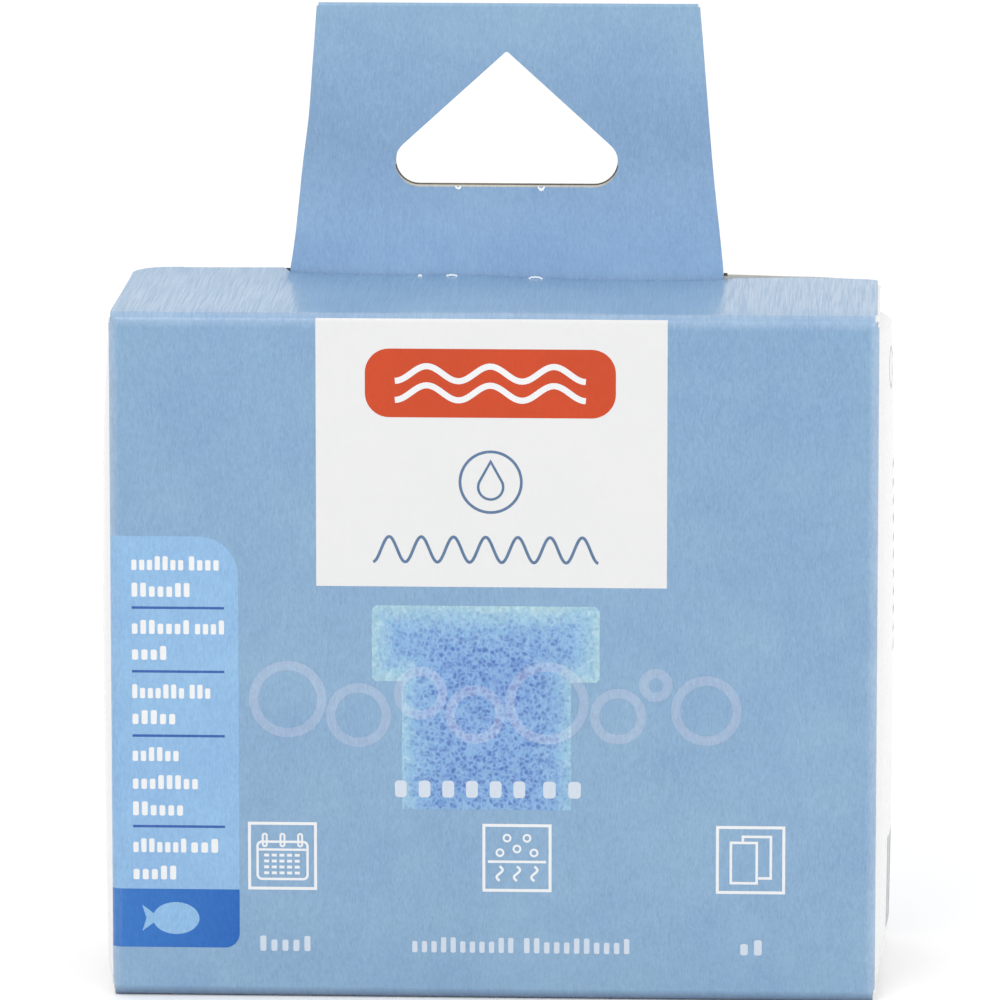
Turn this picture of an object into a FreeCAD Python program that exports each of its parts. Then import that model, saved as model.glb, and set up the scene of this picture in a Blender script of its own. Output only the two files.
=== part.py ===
import FreeCAD
import Part
import os
import Sketcher

# A replacement filter sponge in its retail carton.
#
# The carton is one die-cut blank of printed board. Its panels are rigid plates, and each crease is a
# bent strip of the same board that joins two plates. A T-shaped block of open-cell foam fills it.
# The hang tab is the back panel run up, folded over at the top and glued to itself.
#
# Frame: +Z up, the printed front faces -Y, and the origin is the centre of the underside.

V = FreeCAD.Vector
X_AXIS, Y_AXIS, Z_AXIS = V(1, 0, 0), V(0, 1, 0), V(0, 0, 1)

DIMENSIONS = (
    ("carton_width", 108.0),  # outside, along X
    ("carton_depth", 44.0),  # outside, along Y
    ("carton_height", 97.8),  # outside, to the top panel, along Z
    ("board", 0.45),  # caliper of the folding boxboard
    ("corner_radius", 1.6),  # outside radius of the folds that show at the front
    ("flap_radius", 1.2),  # outside radius of the dust flaps' and the glue flap's folds
    ("tuck_radius", 0.9),  # outside radius of the tuck flaps' folds
    ("flap_gap", 0.12),  # air between a closing panel and the dust flaps under it
    ("panel_inset", 0.4),  # how far a closing panel stops short of the carton's sides
    ("shoulder_reach", 0.5),  # how far its two rear corners reach past the tuck fold
    ("shoulder_radius", 4.0),
    ("slit_length", 7.0),  # cut at each end of the tuck fold, which the dust flaps catch in
    ("rear_gap", 1.2),  # from the carton's back face to the rear of a closing panel
    ("tuck_length", 12.0),
    ("tuck_lean", 14.0),  # degrees that a closed tuck flap leans in from upright
    ("tuck_tip_radius", 7.0),
    ("dust_length", 26.0),
    ("dust_slant", 0.5),  # run back per run in, so that a flap rises under the lifting panel
    ("dust_rear_gap", 3.1),  # from the carton's back face to the rear end of a dust flap's fold
    ("dust_rear_taper", 1.4),
    ("dust_tip_radius", 3.0),
    ("glue_film", 0.05),
    ("glue_flap_width", 11.5),
    ("glue_flap_taper", 3.5),
    ("seam_glue_width", 7.0),
    ("back_edge_inset", 0.2),  # the back panel's cut edge stops short of the side's face
    ("back_rise", 0.1),  # how far the back panel stands above the top panel
    ("tab_crease_height", 0.4),
    ("tab_top", 136.8),  # Z of the top of the hang tab
    ("tab_base_width", 62.6),
    ("tab_top_width", 55.6),
    ("hole_width", 32.0),  # across the rounded ends of the triangular hanger hole
    ("hole_height", 19.4),
    ("hole_base", 12.4),  # the hole's lower edge above the foot of the tab
    ("hole_corner_radius", 3.4),
    ("hole_corner_overrun", 5.4),  # how far the sharp corner lies outside the rounded one
    ("ply_margin", 0.3),  # the front ply's hole is cut this much larger all round
    ("tab_glue_width", 6.0),
    ("tab_glue_height", 26.0),
    ("tab_glue_spacing", 21.5),
    ("sponge_width", 103.5),
    ("sponge_height", 94.4),
    ("sponge_depth", 38.0),
    ("sponge_head_height", 34.5),
    ("sponge_stem_width", 77.6),
    ("sponge_corner_radius", 4.0),
)

doc = FreeCAD.newDocument("BoxedSpongeFilter")
sheet = doc.addObject("Spreadsheet::Sheet", "dims")
for row, (alias, value) in enumerate(DIMENSIONS, start=1):
    sheet.set(f"A{row}", alias)
    sheet.set(f"B{row}", str(value))
    sheet.setAlias(f"B{row}", alias)
doc.recompute()

# Planes that many pieces share, as expressions on the sheet.
SIDE = "dims.carton_width / 2"
BACK = "dims.carton_depth / 2"
TOP = "dims.carton_height"
STRAIGHT = f"{SIDE} - dims.corner_radius"  # half the flat width of the front panel
DUST_TOP = f"{TOP} - dims.board - dims.flap_gap"  # outer face of the dust flaps at the top
DUST_REAR = f"{BACK} - dims.dust_rear_gap"
TUCK_FOLD = f"{BACK} - dims.rear_gap - dims.tuck_radius"  # Y where the tuck fold begins
TUCK_HALF = f"{SIDE} - dims.panel_inset - dims.slit_length"
TAB_FOOT = f"{TOP} + dims.back_rise + dims.tab_crease_height"
TAB_SHOULDER = "dims.tab_top - dims.board - dims.glue_film / 2"  # where the top fold begins
FRONT_PLY = f"{BACK} - dims.board - dims.glue_film - dims.board"  # its front face

parts = []


def keep(obj, name):
    """Gives a finished sub-part its name and marks it for export."""
    obj.Label = name
    parts.append(obj)
    return obj


def bind(obj, **expressions):
    """Binds properties to expressions. A double underscore in a name stands for a dot."""
    for prop, expression in expressions.items():
        obj.setExpression(prop.replace("__", "."), expression)


def at(obj, x, y, z):
    bind(obj, Placement__Base__x=x, Placement__Base__y=y, Placement__Base__z=z)


def block(name, size, corner):
    """A rectangular plate from its lowest corner."""
    obj = doc.addObject("Part::Box", name)
    bind(obj, Length=size[0], Width=size[1], Height=size[2])
    at(obj, *corner)
    return obj


def fold(name, radius, sweep, turn, length, centre, thickness="dims.board"):
    """A bent strip of board: a ring sector swept along its own axis.

    turn carries the cylinder's own axes onto the fold's axis and the sector's first edge."""
    shells = []
    for role, shell_radius in (("outer", radius), ("inner", f"{radius} - {thickness}")):
        shell = doc.addObject("Part::Cylinder", f"{name}_{role}")
        shell.Placement = FreeCAD.Placement(V(), turn)
        bind(shell, Radius=shell_radius, Height=length, Angle=sweep)
        at(shell, *centre)
        shells.append(shell)
    strip = doc.addObject("Part::Cut", name)
    strip.Base, strip.Tool = shells
    return strip


def facing(axis, first):
    """The rotation that carries Z onto axis and X onto first."""
    return FreeCAD.Rotation(first, axis.cross(first), axis, "ZXY")


def plane_of(body, role):
    return next(f for f in body.Origin.OriginFeatures if f.Role == role)


def outline(body, corners, name, role="XY_Plane"):
    """A closed polygon whose every corner is placed by a pair of expressions."""
    sketch = body.newObject("Sketcher::SketchObject", name)
    sketch.AttachmentSupport = (plane_of(body, role), [""])
    sketch.MapMode = "FlatFace"
    count = len(corners)
    guess = [V(*(evaluated(sketch, c) for c in corner), 0) for corner in corners]
    for i in range(count):
        sketch.addGeometry(Part.LineSegment(guess[i], guess[(i + 1) % count]))
    for i in range(count):
        sketch.addConstraint(Sketcher.Constraint("Coincident", i, 2, (i + 1) % count, 1))
    for i, corner in enumerate(corners):
        for kind, start, expression in zip(("DistanceX", "DistanceY"), guess[i], corner):
            index = sketch.addConstraint(Sketcher.Constraint(kind, -1, 1, i, 1, start))
            sketch.setExpression(f"Constraints[{index}]", expression)
    return sketch


def evaluated(obj, expression):
    """An expression's value as a plain number."""
    value = obj.evalExpression(expression)
    return float(getattr(value, "Value", value))


def round_corners(body, base, corners, radius):
    """Rounds the edges of base that run along its pad at the given corners of the outline."""
    doc.recompute()
    wanted = [V(*(evaluated(base, c) for c in corner), 0) for corner in corners]
    edges = []
    for i, edge in enumerate(base.Shape.Edges, start=1):
        ends = [v.Point for v in edge.Vertexes]
        if len(ends) != 2 or abs(ends[0].z - ends[1].z) < 1e-6:
            continue
        foot = V(ends[0].x, ends[0].y, 0)
        if any(foot.distanceToPoint(w) < 1e-3 for w in wanted):
            edges.append(f"Edge{i}")
    if len(edges) != len(corners):
        raise RuntimeError(f"{body.Name}: found {len(edges)} of {len(corners)} corners to round")
    fillet = body.newObject("PartDesign::Fillet", f"{body.Name}_round")
    fillet.Base = (base, edges)
    bind(fillet, Radius=radius)
    return fillet


def plate(name, corners, thickness, rounded=(), radius=None, hole=None, hole_rounded=()):
    """A flat piece cut to an outline in its own XY plane, its thickness along +Z."""
    body = doc.addObject("PartDesign::Body", name)
    sketch = outline(body, corners, f"{name}_outline")
    pad = body.newObject("PartDesign::Pad", f"{name}_pad")
    pad.Profile = sketch
    bind(pad, Length=thickness)
    last = pad
    if hole:
        cut = outline(body, hole, f"{name}_hole_outline")
        pocket = body.newObject("PartDesign::Pocket", f"{name}_hole")
        pocket.Profile = cut
        pocket.Type = "ThroughAll"
        pocket.Reversed = True
        doc.recompute()
        if pocket.Shape.Volume >= pad.Shape.Volume - 1e-6:
            raise RuntimeError(f"{name}: its hole cuts nothing")
        last = round_corners(body, pocket, hole_rounded, "dims.hole_corner_radius")
    if rounded:
        last = round_corners(body, last, rounded, radius)
    body.Tip = last
    return body


def mirrored(x, sign):
    """An X expression for the right side, turned over for the left."""
    return x if sign > 0 else f"-({x})"


def build_sleeve():
    """The four upright walls, the folds between them and the glued seam."""
    flat_height = f"{TOP} - 2 * dims.corner_radius"
    keep(
        block(
            "front_panel",
            (f"2 * ({STRAIGHT})", "dims.board", flat_height),
            (f"-({STRAIGHT})", f"-{BACK}", "dims.corner_radius"),
        ),
        "front_panel",
    )
    keep(
        block(
            "back_panel",
            (
                f"2 * {SIDE} - dims.back_edge_inset - dims.corner_radius",
                "dims.board",
                f"{TOP} + dims.back_rise",
            ),
            (f"-{SIDE} + dims.back_edge_inset", f"{BACK} - dims.board", "0"),
        ),
        "back_panel",
    )
    side_foot = "dims.board + dims.flap_gap + dims.flap_radius"
    side_height = f"{TOP} - 2 * ({side_foot})"
    glue_face = f"{BACK} - dims.board - dims.glue_film"
    rear_edges = {"right": f"{BACK} - dims.corner_radius", "left": f"{glue_face} - dims.flap_radius"}
    for hand, x in (("left", f"-{SIDE}"), ("right", f"{SIDE} - dims.board")):
        depth = f"{rear_edges[hand]} + {BACK} - dims.corner_radius"
        keep(
            block(
                f"{hand}_side_panel",
                ("dims.board", depth, side_height),
                (x, f"-{BACK} + dims.corner_radius", side_foot),
            ),
            f"{hand}_side_panel",
        )
    front = f"-{BACK} + dims.corner_radius"
    back = f"{BACK} - dims.corner_radius"
    corners = (
        ("front_left_fold", f"-({STRAIGHT})", front, -X_AXIS),
        ("front_right_fold", STRAIGHT, front, -Y_AXIS),
        ("back_right_fold", STRAIGHT, back, X_AXIS),
    )
    for name, x, y, first in corners:
        centre = (x, y, side_foot)
        turn = facing(Z_AXIS, first)
        keep(fold(name, "dims.corner_radius", "90", turn, side_height, centre), name)
    seam_centre = (f"-{SIDE} + dims.flap_radius", f"{glue_face} - dims.flap_radius", side_foot)
    turn = facing(Z_AXIS, Y_AXIS)
    name = "glue_flap_fold"
    keep(fold(name, "dims.flap_radius", "90", turn, side_height, seam_centre), name)
    build_glue_flap(glue_face, side_foot)


def build_glue_flap(glue_face, side_foot):
    """The seam flap of the left side panel, inside the back panel, and its film of glue."""
    root = f"-{SIDE} + dims.flap_radius"
    tip = f"{root} + dims.glue_flap_width"
    low, high = side_foot, f"{TOP} - ({side_foot})"
    corners = (
        (root, low),
        (tip, f"{low} + dims.glue_flap_taper"),
        (tip, f"{high} - dims.glue_flap_taper"),
        (root, high),
    )
    flap = plate("glue_flap", corners, "dims.board")
    flap.Placement = FreeCAD.Placement(V(), FreeCAD.Rotation(X_AXIS, 90))
    at(flap, "0", glue_face, "0")
    keep(flap, "glue_flap")
    margin = "dims.glue_flap_taper * 2"
    glue = block(
        "seam_glue",
        ("dims.seam_glue_width", "dims.glue_film", f"{high} - ({low}) - 2 * {margin}"),
        (f"{tip} - dims.seam_glue_width - 2 * dims.board", glue_face, f"{low} + {margin}"),
    )
    keep(glue, "seam_glue")


def build_closure(end):
    """One end of the carton: the closing panel, its tuck flap and the two dust flaps under it."""
    top = end == "top"
    half = f"{SIDE} - dims.panel_inset"
    shoulder = f"{TUCK_FOLD} + dims.shoulder_reach"
    front = f"-{BACK} + dims.corner_radius"
    corners = (
        (f"-({half})", front),
        (half, front),
        (half, shoulder),
        (TUCK_HALF, shoulder),
        (TUCK_HALF, TUCK_FOLD),
        (f"-({TUCK_HALF})", TUCK_FOLD),
        (f"-({TUCK_HALF})", shoulder),
        (f"-({half})", shoulder),
    )
    rounded = (corners[2], corners[7])
    panel = plate(f"{end}_panel", corners, "dims.board", rounded, "dims.shoulder_radius")
    at(panel, "0", "0", f"{TOP} - dims.board" if top else "0")
    keep(panel, f"{end}_panel")

    fold_z = f"{TOP} - dims.corner_radius" if top else "dims.corner_radius"
    centre = (f"{STRAIGHT}", front, fold_z)
    front_fold = fold(
        f"{end}_front_fold",
        "dims.corner_radius",
        "90",
        facing(-X_AXIS, -Y_AXIS if top else -Z_AXIS),
        f"2 * ({STRAIGHT})",
        centre,
    )
    keep(front_fold, f"{end}_front_fold")
    build_tuck(end, top)
    for hand, sign in (("left", -1), ("right", 1)):
        build_dust_flap(end, top, hand, sign)


def build_tuck(end, top):
    """The tuck flap and its fold, leaning in so that the tip clears the back as the end opens."""
    fold_z = f"{TOP} - dims.tuck_radius" if top else "dims.tuck_radius"
    turn = facing(-X_AXIS, Z_AXIS) if top else facing(X_AXIS, -Z_AXIS)
    start = TUCK_HALF if top else f"-({TUCK_HALF})"
    name = f"{end}_tuck_fold"
    sweep = "90 + dims.tuck_lean"
    centre = (start, TUCK_FOLD, fold_z)
    keep(fold(name, "dims.tuck_radius", sweep, turn, f"2 * ({TUCK_HALF})", centre), name)

    corners = (
        (f"-({TUCK_HALF})", "0"),
        (TUCK_HALF, "0"),
        (TUCK_HALF, "-dims.tuck_length"),
        (f"-({TUCK_HALF})", "-dims.tuck_length"),
    )
    flap = plate(
        f"{end}_tuck_flap", corners, "dims.board", corners[2:], "dims.tuck_tip_radius"
    )
    # The plate's Z = 0 face is the flap's outer face at the top and its inner face at the bottom.
    reach = "dims.tuck_radius" if top else "(dims.tuck_radius - dims.board)"
    axis = X_AXIS if top else -X_AXIS
    flap.Placement = FreeCAD.Placement(V(), FreeCAD.Rotation(axis, 90))
    bind(flap, Placement__Rotation__Angle="90 - dims.tuck_lean")
    root_y = f"{TUCK_FOLD} + {reach} * cos(dims.tuck_lean * 1deg)"
    rise = f"{'-' if top else '+'} {reach} * sin(dims.tuck_lean * 1deg)"
    at(flap, "0", root_y, f"{fold_z} {rise}")
    keep(flap, f"{end}_tuck_flap")


def build_dust_flap(end, top, hand, sign):
    """A dust flap and its fold, on a side panel's edge."""
    name = f"{end}_{hand}_dust_flap"
    root_x = f"{SIDE} - dims.flap_radius"
    tip_x = f"{root_x} - dims.dust_length"
    root_front = f"-{BACK} + dims.corner_radius"
    tip_front = f"{root_front} + dims.dust_length * dims.dust_slant"
    corners = [
        (mirrored(root_x, sign), root_front),
        (mirrored(root_x, sign), DUST_REAR),
        (mirrored(tip_x, sign), f"{DUST_REAR} - dims.dust_rear_taper"),
        (mirrored(tip_x, sign), tip_front),
    ]
    flap = plate(name, corners, "dims.board", corners[2:], "dims.dust_tip_radius")
    outer = DUST_TOP if top else f"{TOP} - ({DUST_TOP})"
    at(flap, "0", "0", f"{outer} - dims.board" if top else outer)
    keep(flap, name)

    # The sector starts at the outer side face and ends level with the flap, or the reverse.
    firsts = {
        (True, 1): X_AXIS,
        (True, -1): Z_AXIS,
        (False, 1): -Z_AXIS,
        (False, -1): -X_AXIS,
    }
    centre_z = f"{outer} - dims.flap_radius" if top else f"{outer} + dims.flap_radius"
    centre = (mirrored(root_x, sign), DUST_REAR, centre_z)
    length = f"{DUST_REAR} - ({root_front})"
    turn = facing(-Y_AXIS, firsts[top, sign])
    strip = fold(f"{end}_{hand}_dust_fold", "dims.flap_radius", "90", turn, length, centre)
    keep(strip, f"{end}_{hand}_dust_fold")


def tab_outline():
    foot, shoulder = TAB_FOOT, TAB_SHOULDER
    return (
        ("-dims.tab_base_width / 2", foot),
        ("dims.tab_base_width / 2", foot),
        ("dims.tab_top_width / 2", shoulder),
        ("-dims.tab_top_width / 2", shoulder),
    )


def hanger_hole(margin):
    """The triangle of the hanger hole, point up, before its two lower corners are rounded."""
    half = f"dims.hole_width / 2 + dims.hole_corner_overrun + {margin} * 2"
    low = f"{TAB_FOOT} + dims.hole_base - {margin}"
    apex = f"{TAB_FOOT} + dims.hole_base + dims.hole_height + {margin}"
    return ((f"-({half})", low), (half, low), ("0", apex))


def build_hang_tab():
    """Two glued plies with the hanger hole, the fold over their top and the crease at their foot."""
    plies = (
        ("tab_back_ply", "0", f"{BACK}"),
        ("tab_front_ply", "dims.ply_margin", f"{FRONT_PLY} + dims.board"),
    )
    for name, margin, rear in plies:
        hole = hanger_hole(margin)
        ply = plate(name, tab_outline(), "dims.board", hole=hole, hole_rounded=hole[:2])
        ply.Placement = FreeCAD.Placement(V(), FreeCAD.Rotation(X_AXIS, 90))
        at(ply, "0", rear, "0")
        keep(ply, name)

    middle = f"{BACK} - dims.board - dims.glue_film / 2"
    top_fold = fold(
        "tab_top_fold",
        "dims.board + dims.glue_film / 2",
        "180",
        facing(X_AXIS, Y_AXIS),
        "dims.tab_top_width",
        ("-dims.tab_top_width / 2", middle, TAB_SHOULDER),
    )
    keep(top_fold, "tab_top_fold")
    crease = block(
        "tab_base_crease",
        ("dims.tab_base_width", "dims.board", "dims.tab_crease_height"),
        ("-dims.tab_base_width / 2", f"{BACK} - dims.board", f"{TOP} + dims.back_rise"),
    )
    keep(crease, "tab_base_crease")
    strips = []
    for hand, sign in (("left", "-"), ("right", "")):
        strips.append(
            block(
                f"tab_glue_{hand}",
                ("dims.tab_glue_width", "dims.glue_film", "dims.tab_glue_height"),
                (
                    f"{sign}dims.tab_glue_spacing - dims.tab_glue_width / 2",
                    f"{BACK} - dims.board - dims.glue_film",
                    f"{TAB_FOOT} + dims.tab_glue_width / 2",
                ),
            )
        )
    glue = doc.addObject("Part::Compound", "tab_glue")
    glue.Links = strips
    keep(glue, "tab_glue")


def build_sponge():
    """The T-shaped filter block, head up, just behind the front panel."""
    half, stem = "dims.sponge_width / 2", "dims.sponge_stem_width / 2"
    low = f"({TOP} - dims.sponge_height) / 2"
    high = f"{low} + dims.sponge_height"
    ledge = f"{high} - dims.sponge_head_height"
    corners = (
        (f"-{stem}", low),
        (stem, low),
        (stem, ledge),
        (half, ledge),
        (half, high),
        (f"-{half}", high),
        (f"-{half}", ledge),
        (f"-{stem}", ledge),
    )
    rounded = [corners[i] for i in (0, 1, 3, 4, 5, 6)]
    sponge = plate(
        "sponge", corners, "dims.sponge_depth", rounded, "dims.sponge_corner_radius"
    )
    sponge.Placement = FreeCAD.Placement(V(), FreeCAD.Rotation(X_AXIS, 90))
    rear = f"-{BACK} + dims.board + dims.sponge_depth"
    at(sponge, "0", rear, "0")
    keep(sponge, "sponge")


def export():
    """Checks every object, then writes one STEP file per sub-part."""
    doc.recompute()
    for obj in doc.Objects:
        if {"Invalid", "Error"} & set(obj.State):
            raise RuntimeError(f"{obj.Name} failed: {obj.State}")
    os.makedirs("parts", exist_ok=True)
    for obj in parts:
        shape = obj.Shape
        if shape.isNull() or not shape.isValid() or shape.Volume <= 0:
            raise RuntimeError(f"{obj.Label} has no valid solid")
        shape.exportStep(f"parts/{obj.Label}.step")
        print(f"{obj.Label}: {len(shape.Solids)} solid, {shape.Volume:.2f} mm3")


build_sleeve()
for carton_end in ("top", "bottom"):
    build_closure(carton_end)
build_hang_tab()
build_sponge()
export()
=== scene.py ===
"""A boxed filter sponge: a printed folding carton with a hang tab, and the foam block inside it.

Lengths are in metres. MM turns a length in millimetres into one. The front of the carton faces -Y.
Print is laid out in millimetres from the middle of a panel's foot: s to its right and t upwards.
"""

from collections import Counter
from math import acos, atan2, cos, hypot, pi, radians, sin, sqrt, tan

import bmesh
import bpy
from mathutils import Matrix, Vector, geometry, noise


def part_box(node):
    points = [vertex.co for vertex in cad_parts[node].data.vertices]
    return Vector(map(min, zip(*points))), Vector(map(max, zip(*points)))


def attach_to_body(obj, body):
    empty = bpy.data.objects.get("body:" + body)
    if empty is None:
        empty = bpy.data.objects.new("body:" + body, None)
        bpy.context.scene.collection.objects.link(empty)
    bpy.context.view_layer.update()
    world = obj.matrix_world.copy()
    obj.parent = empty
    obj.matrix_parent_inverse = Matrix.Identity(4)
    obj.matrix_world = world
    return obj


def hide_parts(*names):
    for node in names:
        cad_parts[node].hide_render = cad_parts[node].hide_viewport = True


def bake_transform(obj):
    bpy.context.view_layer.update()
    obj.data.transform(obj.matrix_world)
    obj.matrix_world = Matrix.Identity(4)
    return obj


MM = 0.001
OUTSIDE, INSIDE, CUT = range(3)  # a board piece's material slots
HANDS = (("left", -1), ("right", 1))
ENDS = ("top", "bottom")

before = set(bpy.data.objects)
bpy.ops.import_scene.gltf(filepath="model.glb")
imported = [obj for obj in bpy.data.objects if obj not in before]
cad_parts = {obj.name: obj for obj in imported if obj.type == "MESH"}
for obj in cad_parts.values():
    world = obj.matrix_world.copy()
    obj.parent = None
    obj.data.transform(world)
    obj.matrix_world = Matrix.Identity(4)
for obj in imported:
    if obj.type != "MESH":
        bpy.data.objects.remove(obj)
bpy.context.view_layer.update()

# ---- Where things are, read from the frame ----

front_low, front_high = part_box("front_panel")
back_low, back_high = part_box("back_panel")
side_low, side_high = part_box("right_side_panel")
lid_low, lid_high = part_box("top_panel")
flap_low, flap_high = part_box("top_right_dust_flap")
flap_fold_low, flap_fold_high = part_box("top_right_dust_fold")
tuck_fold_low, tuck_fold_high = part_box("top_tuck_fold")
tab_low, tab_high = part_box("tab_back_ply")
tab_fold_low, tab_fold_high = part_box("tab_top_fold")
crease_low, crease_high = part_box("tab_base_crease")

BOARD = front_high.y - front_low.y
FRONT, BACK = front_low.y, back_high.y
HALF_WIDTH = side_high.x
HEIGHT = lid_high.z
CORNER = HALF_WIDTH - front_high.x  # outside radius of the carton's upright and front folds
SEAM = HEIGHT - CORNER  # where the upright walls end and the lid's front fold begins
LID_HALF = lid_high.x
LID_FRONT = lid_low.y  # where the front fold ends and the closing panel begins
TUCK_HALF = tuck_fold_high.x
TUCK_START = tuck_fold_low.y
TUCK_RADIUS = tuck_fold_high.y - TUCK_START
FLAP_RADIUS = flap_fold_high.x - flap_fold_low.x
FLAP_TOP = flap_high.z
TAB_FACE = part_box("tab_front_ply")[0].y
TAB_PLANE = (TAB_FACE + tab_high.y) / 2

# ---- Sizes that the frame doesn't hold ----

TUCK_LEAN = radians(14)
TUCK_LENGTH = 12 * MM
TUCK_TIP = 7 * MM
TUCK_STEPS = 90  # along the edge that the lid and its tuck fold share
SHOULDER_TIPS = (6 * MM, 2 * MM)  # left and right; the left one is worn rounder
SLIT = 0.02 * MM  # the cut between a lid's shoulders and its tuck fold
FLAP_SLANT = 0.5
FLAP_TAPER = 1.4 * MM
FLAP_TIP = 3 * MM
SIDE_BULGE = 2.2 * MM
BULGE_HEADS = (24 * MM, 1.2 * MM)  # how soon the left and right bulges rise below their upper edges
BULGE_FEET = (2 * MM, 8 * MM)  # and above their lower edges
BULGE_SLOPE = 0.16  # how steeply the bulge's upper edge drops towards the back
BULGE_DROP_START = -7 * MM  # the Y at which it starts to drop
LID_DIP = 0.12 * MM  # the board curves down over DIP_REACH towards the front crease
DIP_REACH = 5 * MM
LID_SAG = (  # the far edge's height, in millimetres, from the left end (-1) to the right (1)
    (-1.0, 0.7), (-0.9, 0.62), (-0.598, 0.68), (-0.582, -0.05), (-0.469, -0.22),
    (-0.265, -0.32), (-0.1, -0.3), (0.063, -0.58), (0.2, -0.88), (0.45, -0.88),
    (0.56, -0.85), (0.615, -0.45), (0.8, -0.32), (1.0, -0.6),
)
TAB_HOLLOWS = (  # how far the tab's left and right edges are cut in, from its foot (0) to its head (1)
    ((0.0, 0.0), (0.12, 0.3), (0.35, 0.42), (0.6, 0.7), (0.82, 0.55), (1.0, 0.43)),
    ((0.0, 0.0), (0.4, 0.2), (1.0, 0.0)),
)
TAB_NIP = 0.25 * MM  # how much the worn ends of the fold at the tab's head draw in
TAB_ROOT = 1.8 * MM  # how far the tab's board reaches down behind the lid
HOLE_FOOT = 12.4 * MM  # from the foot of the tab
HOLE_HEIGHT = 19.4 * MM
HOLE_HALF = 21.4 * MM  # half the base of the triangle before its corners are rounded
HOLE_CORNER = 3.4 * MM
HOLE_TIP = 0.35 * MM  # the die leaves the point a little round
BACK_TRIMS = (  # how much lower the back panel's edge is cut beside the tab, by place from its middle
    ((0.0, 0.55), (1.0, 0.55)),
    ((0.584, 0.3), (0.8, 0.55), (1.0, 1.0)),
)
PLY_MARGIN = 0.12 * MM
PLY_DROP = 0.36 * MM  # the front ply's hole sits this much lower than the back ply's


# ---- Materials ----


def srgb(red, green, blue):
    """A colour as a shader reads it, from 0-255 values."""
    channels = []
    for value in (red, green, blue):
        v = value / 255
        channels.append(v / 12.92 if v <= 0.04045 else ((v + 0.055) / 1.055) ** 2.4)
    return (*channels, 1.0)


LIGHT_LEVEL, SHEEN_LEVEL = 1.32, 0.045


def seen(red, green, blue):
    """The base colour of a surface that should read as the given colour on this set."""
    wanted = srgb(red, green, blue)[:3]
    return (*(max((v - SHEEN_LEVEL) / LIGHT_LEVEL, 0.002) for v in wanted), 1.0)


class Look:
    """A material being made. place is where a point lies on the object."""

    def __init__(self, name):
        self.material = bpy.data.materials.new(name)
        self.material.use_nodes = True
        self.tree = self.material.node_tree
        self.tree.nodes.clear()
        self.place = self.add("TexCoord").outputs["Object"]

    def add(self, kind, inputs=None, **settings):
        """A shader node. An input is given a socket to link from, or a value."""
        made = self.tree.nodes.new("ShaderNode" + kind)
        for key, value in settings.items():
            setattr(made, key, value)
        for key, value in (inputs or {}).items():
            if isinstance(value, bpy.types.NodeSocket):
                self.tree.links.new(value, made.inputs[key])
            else:
                made.inputs[key].default_value = value
        return made

    def axis(self, name):
        return self.add("SeparateXYZ", {0: self.place}).outputs[name]

    def calc(self, operation, *values):
        return self.add("Math", dict(enumerate(values)), operation=operation).outputs[0]

    def swing(self, value, amount, middle):
        """A value that swings about 0.5, made to swing by an amount about another middle."""
        return self.calc("MULTIPLY_ADD", self.calc("SUBTRACT", value, 0.5), amount, middle)

    def remap(self, value, low, high, to_low=0.0, to_high=1.0):
        span = {"From Min": low, "From Max": high, "To Min": to_low, "To Max": to_high}
        return self.add("MapRange", {"Value": value, **span}).outputs[0]

    def step(self, value, threshold, softness):
        """0 below a threshold and 1 above it, with a soft edge between."""
        return self.remap(value, threshold - softness / 2, threshold + softness / 2)

    def mix(self, factor, first, second, mode="MIX"):
        colours = {0: factor, 6: first, 7: second}
        return self.add("Mix", colours, data_type="RGBA", blend_type=mode).outputs[2]

    def ramp(self, value, *stops):
        made = self.add("ValToRGB", {0: value})
        elements = made.color_ramp.elements
        while len(elements) < len(stops):
            elements.new(0.5)
        for element, (place, colour) in zip(elements, stops):
            element.position, element.color = place, colour
        return made.outputs[0]

    def noise(self, scale, detail=2.0, roughness=0.5):
        """Noise. A scale of three numbers gives its waves a different length along each axis."""
        scale = scale if isinstance(scale, tuple) else (scale,) * 3
        stretched = self.add("VectorMath", {0: self.place, 1: scale}, operation="MULTIPLY").outputs[0]
        inputs = {"Vector": stretched, "Scale": 1.0, "Detail": detail, "Roughness": roughness}
        return self.add("TexNoise", inputs).outputs[0]

    def cells(self, scale):
        """How far a point is from the wall of its random cell."""
        inputs = {"Vector": self.place, "Scale": scale}
        return self.add("TexVoronoi", inputs, feature="DISTANCE_TO_EDGE").outputs[0]

    def bump(self, height, strength, distance):
        inputs = {"Height": height, "Strength": strength, "Distance": distance}
        return self.add("Bump", inputs).outputs[0]

    def finish(self, inputs):
        shader = self.add("BsdfPrincipled", inputs)
        self.add("OutputMaterial", {0: shader.outputs[0]})
        return self.material


FIBRES_UPRIGHT = (5400.0, 75.0, 1100.0)  # fine across X, long along Y, shorter along Z
FIBRES_SIDE = (75.0, 5400.0, 1100.0)


def ink_drift(look, amount):
    """A slow change of tone over the sheet, from a little bluer to a little greener."""
    share = look.remap(look.noise(110.0, detail=3.0, roughness=0.6), 0.3, 0.7)
    swing = [0.06 * amount, 0.05 * amount, 0.02 * amount]
    bluer = (*(1 - part for part in swing), 1.0)
    greener = (*(1 + part for part in swing), 1.0)
    return look.mix(share, bluer, greener)


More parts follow.
